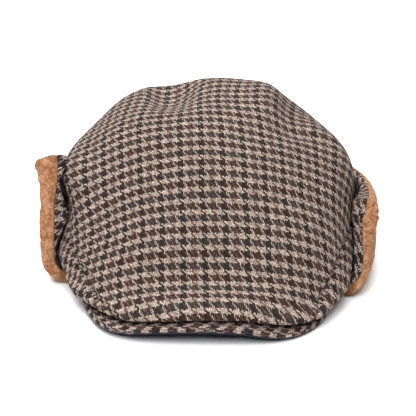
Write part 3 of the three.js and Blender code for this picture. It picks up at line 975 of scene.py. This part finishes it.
side_right = add_side(1, "side_panel_right_cloth")
side_left = add_side(-1, "side_panel_left_cloth")


# %% [markdown]
# ## The flap
#
# One long flap of wool backed with fleece runs round the sides and back. It is folded up, so it
# lies under the hem, turns up round a soft fold and stands against the crown, fleece outside. In
# section that is a foot, a quarter circle and a wall. Each layer is this section at its own depth,
# plumped so that its edges are round.

# %% The flap's section
def flap_point(u, t, depth):
    """t from 0 to 1 is the foot, to 2 the fold and to 3 the wall. The front edges slant back with
    height, the right one from further forward, and the wall leans and thins towards its rim."""
    at, height, lean = (read_table(FLAP_PLACES[:, k], u) for k in range(3))
    on_foot, on_fold, on_wall = (np.clip(t - k, 0, 1) for k in range(3))
    turn, bend = on_fold * np.pi / 2, FOLD_RADIUS - depth
    z = np.where(t < 1, depth, np.where(t < 2, FOLD_RADIUS - bend * np.cos(turn),
                                        mix(FOLD_RADIUS, height, on_wall)))
    rise = z / height
    forward = RIGHT_FOOT * (1 - smooth(share(z, 0, FOOT_FADE))) * end_share(u, 0.0)
    angle = np.radians(at + EDGE_SLANT * rise * (1 - 2 * u) ** 3 - forward)
    outer = radius(FLAP, angle) - FOLD_RADIUS
    r = np.where(t < 1, mix(radius(OPENING, angle), outer, on_foot), outer + bend * np.sin(turn))
    thin = RIM_ROUND * share(z, height - RIM_LENGTH, height) ** 2 * (1 - share(depth, 0, FLEECE))
    return around(angle, r + lean * rise ** 3 - thin, z)


def flap_grid(columns, foot, fold, wall):
    """Parameters of a grid, finer at both front edges and at the rim. It runs from the left end
    (u = 1) to the right one, which turns the outer grid's faces away from the head."""
    s = np.linspace(1, 0, columns)
    u = s - 0.8 * np.sin(2 * np.pi * s) / (2 * np.pi)
    climb = 1 - (1 - np.linspace(0, 1, wall)) ** 1.6
    t = np.concatenate([np.linspace(0, 1, foot)[:-1], 1 + np.linspace(0, 1, fold)[:-1], 2 + climb])
    return u[:, None], t[None]


def end_share(u, end):
    """1 at one front end of the flap, falling like a bell along it."""
    return bell(u - end, END_REACH)


def own_depth(u, t, z, plain, column):
    """Depth of a face with what both ends add to it. Column 1 is the outer face, 2 the join and 3
    the inner face, which hangs in at the rim of the right end."""
    wide = RIGHT_WIDE if column == 1 else 1.0
    right = np.interp(z, RIGHT_END[:, 0], RIGHT_END[:, column]) * end_share(u / wide, 0.0)
    left = np.interp(z, LEFT_END[:, 0], LEFT_END[:, column]) * end_share(u, 1.0)
    if column == 3:
        right = right + RIM_SLACK * end_share(u / 2, SLACK_AT) * share(z, *SLACK_FADE)
    return plain + (right + left) * smooth(share(t, 0.8, 1.5))


def flap_layer(u, t, outer, inner, rounding, soft_side):
    """Outer and inner face of one layer, each a depth and its column in the end tables. The soft
    side is drawn in towards the other near the edges, which rounds them."""
    z = flap_point(u, t, sum(d for d, _ in (outer, inner)) / 2)[..., 2]
    out_depth, in_depth = (own_depth(u, t, z, d, column) for d, column in (outer, inner))
    base = flap_point(u, t, (out_depth + in_depth) / 2)
    inwards, along = lengths(base, 1), lengths(base, 0)
    edge = np.minimum(inwards[:, -1:] - inwards, np.minimum(along, along[-1:] - along))
    full = plump(edge, rounding) * (in_depth - out_depth)
    if soft_side == "outer":
        out_depth = in_depth - full
    else:
        in_depth = out_depth + full
    return flap_point(u, t, out_depth), flap_point(u, t, in_depth), edge


# %% Wool side of the flap
u, t = flap_grid(280, 12, 30, 70)
foot = FLEECE + GAP
joined, facing, _ = flap_layer(u, t, (foot, 2), (foot + FLAP_CLOTH, 3), 2.4, "inner")
flap_map = turned_map(lengths(facing[::-1], 0)[::-1], lengths(facing, 1), FLAP_GRAIN)
flap_cloth = add_shell("flap_wool", joined, facing, flap_map, [check_wool])

# %% Fleece side of the flap
BIG_LUMP, SMALL_LUMP = 1.5, 0.9  # heights of the pile's lumps
CURL, CURL_STEP = 2.0, 4.6  # height of the curls and the way from one to the next
u, t = flap_grid(560, 8, 24, 56)
pile_out, pile_in, edge = flap_layer(u, t, (0.0, 1), (FLEECE + 0.2, 2), 3.4, "outer")
big, small = (1 - locks_far(pile_out, size, seed) ** 2 for size, seed in ((6.5, 4), (2.8, 8)))
heights = pile_out[..., 2]
# Longer curls stand one above another at the right front end.
wave = (heights + 2.2 * soft_noise(pile_out, 12.0, 6)) / CURL_STEP
curls = CURL * (np.abs(np.sin(np.pi * wave)) - 0.4) * end_share(u, 0.02) * share(heights, 33, 40)
rough = BIG_LUMP * (big - 0.72) + SMALL_LUMP * (small - 0.75) + curls
rough *= smooth(share(heights, 0.5, 6)) * (0.5 + 0.5 * share(edge, 0, 3))
pile = pile_out + outward(pile_out) * rough[..., None]
pile[..., 2] = np.maximum(pile[..., 2], 0.05)
flap_fleece = add_shell("flap_pile", pile, pile_in, pile[..., :2] / PLAIN_REPEAT, [camel_fleece])
# The crest attribute drives the fleece's painted shade in the hollows between lumps.
crest = 0.45 * big + 0.55 * small
crest = np.concatenate([crest.ravel(), 0 * crest.ravel() + 0.5]).astype(np.float32)
flap_fleece.data.attributes.new("crest", "FLOAT", "POINT").data.foreach_set("value", crest)


# %% [markdown]
# ## Bringing the pieces together
#
# The cap doesn't move, so every piece rides on the root. Each one stands for the plain solid of the
# same layer.

# %% Ride and replace
for piece, node, finish in (
    (peak, "peak", "check_wool"), (underside, "peak_underside", "navy_cloth"),
    (top_panel, "top_panel", "check_wool"), (side_right, "side_panel_right", "check_wool"),
    (side_left, "side_panel_left", "check_wool"), (flap_cloth, "flap_cloth", "check_wool"),
    (flap_fleece, "flap_fleece", "camel_fleece"),
):
    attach(piece, ROOT)
    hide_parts(node)
    print(piece.name, "stands for", node)


# %% [markdown]
# ## Studio
#
# The studio is a white floor under a white sky with large soft lamps. The cloth is lit evenly, and
# only a faint shadow joins the cap to the floor.

# %% Floor, sky and lamps
def add_floor():
    """A square eight metres across, just under the cap."""
    mesh = bpy.data.meshes.new("studio_floor")
    mesh.from_pydata([(-4, -4, 0), (4, -4, 0), (4, 4, 0), (-4, 4, 0)], [], [(0, 1, 2, 3)])
    mesh.materials.append(new_finish("studio_white", (0.97, 0.97, 0.97), 1.0, 0.0)[0])
    floor = add_object("studio_floor", mesh)
    floor.location.z = -0.0003


def add_lamp(name, place, size, power):
    """A square area lamp that faces the cap's middle."""
    data = bpy.data.lights.new(name, "AREA")
    data.shape, data.size, data.energy = "SQUARE", size, power
    lamp = add_object(name, data)
    lamp.location = x, y, z = place
    tilt = math.atan2(math.hypot(x, y), z - 0.05)
    lamp.rotation_euler = (tilt, 0, math.atan2(y, x) + math.pi / 2)


world = bpy.data.worlds.new("studio_sky")
world.use_nodes = True
sky = world.node_tree.nodes["Background"]
sky.inputs["Color"].default_value, sky.inputs["Strength"].default_value = (1, 1, 1, 1), 0.05
bpy.context.scene.world = world
bpy.context.scene.view_settings.view_transform = "Standard"
add_floor()
add_lamp("top_lamp", (-0.42, 0.85, 1.9), 2.0, 98.0)
add_lamp("front_lamp", (0.0, -1.44, 1.53), 1.5, 64.0)
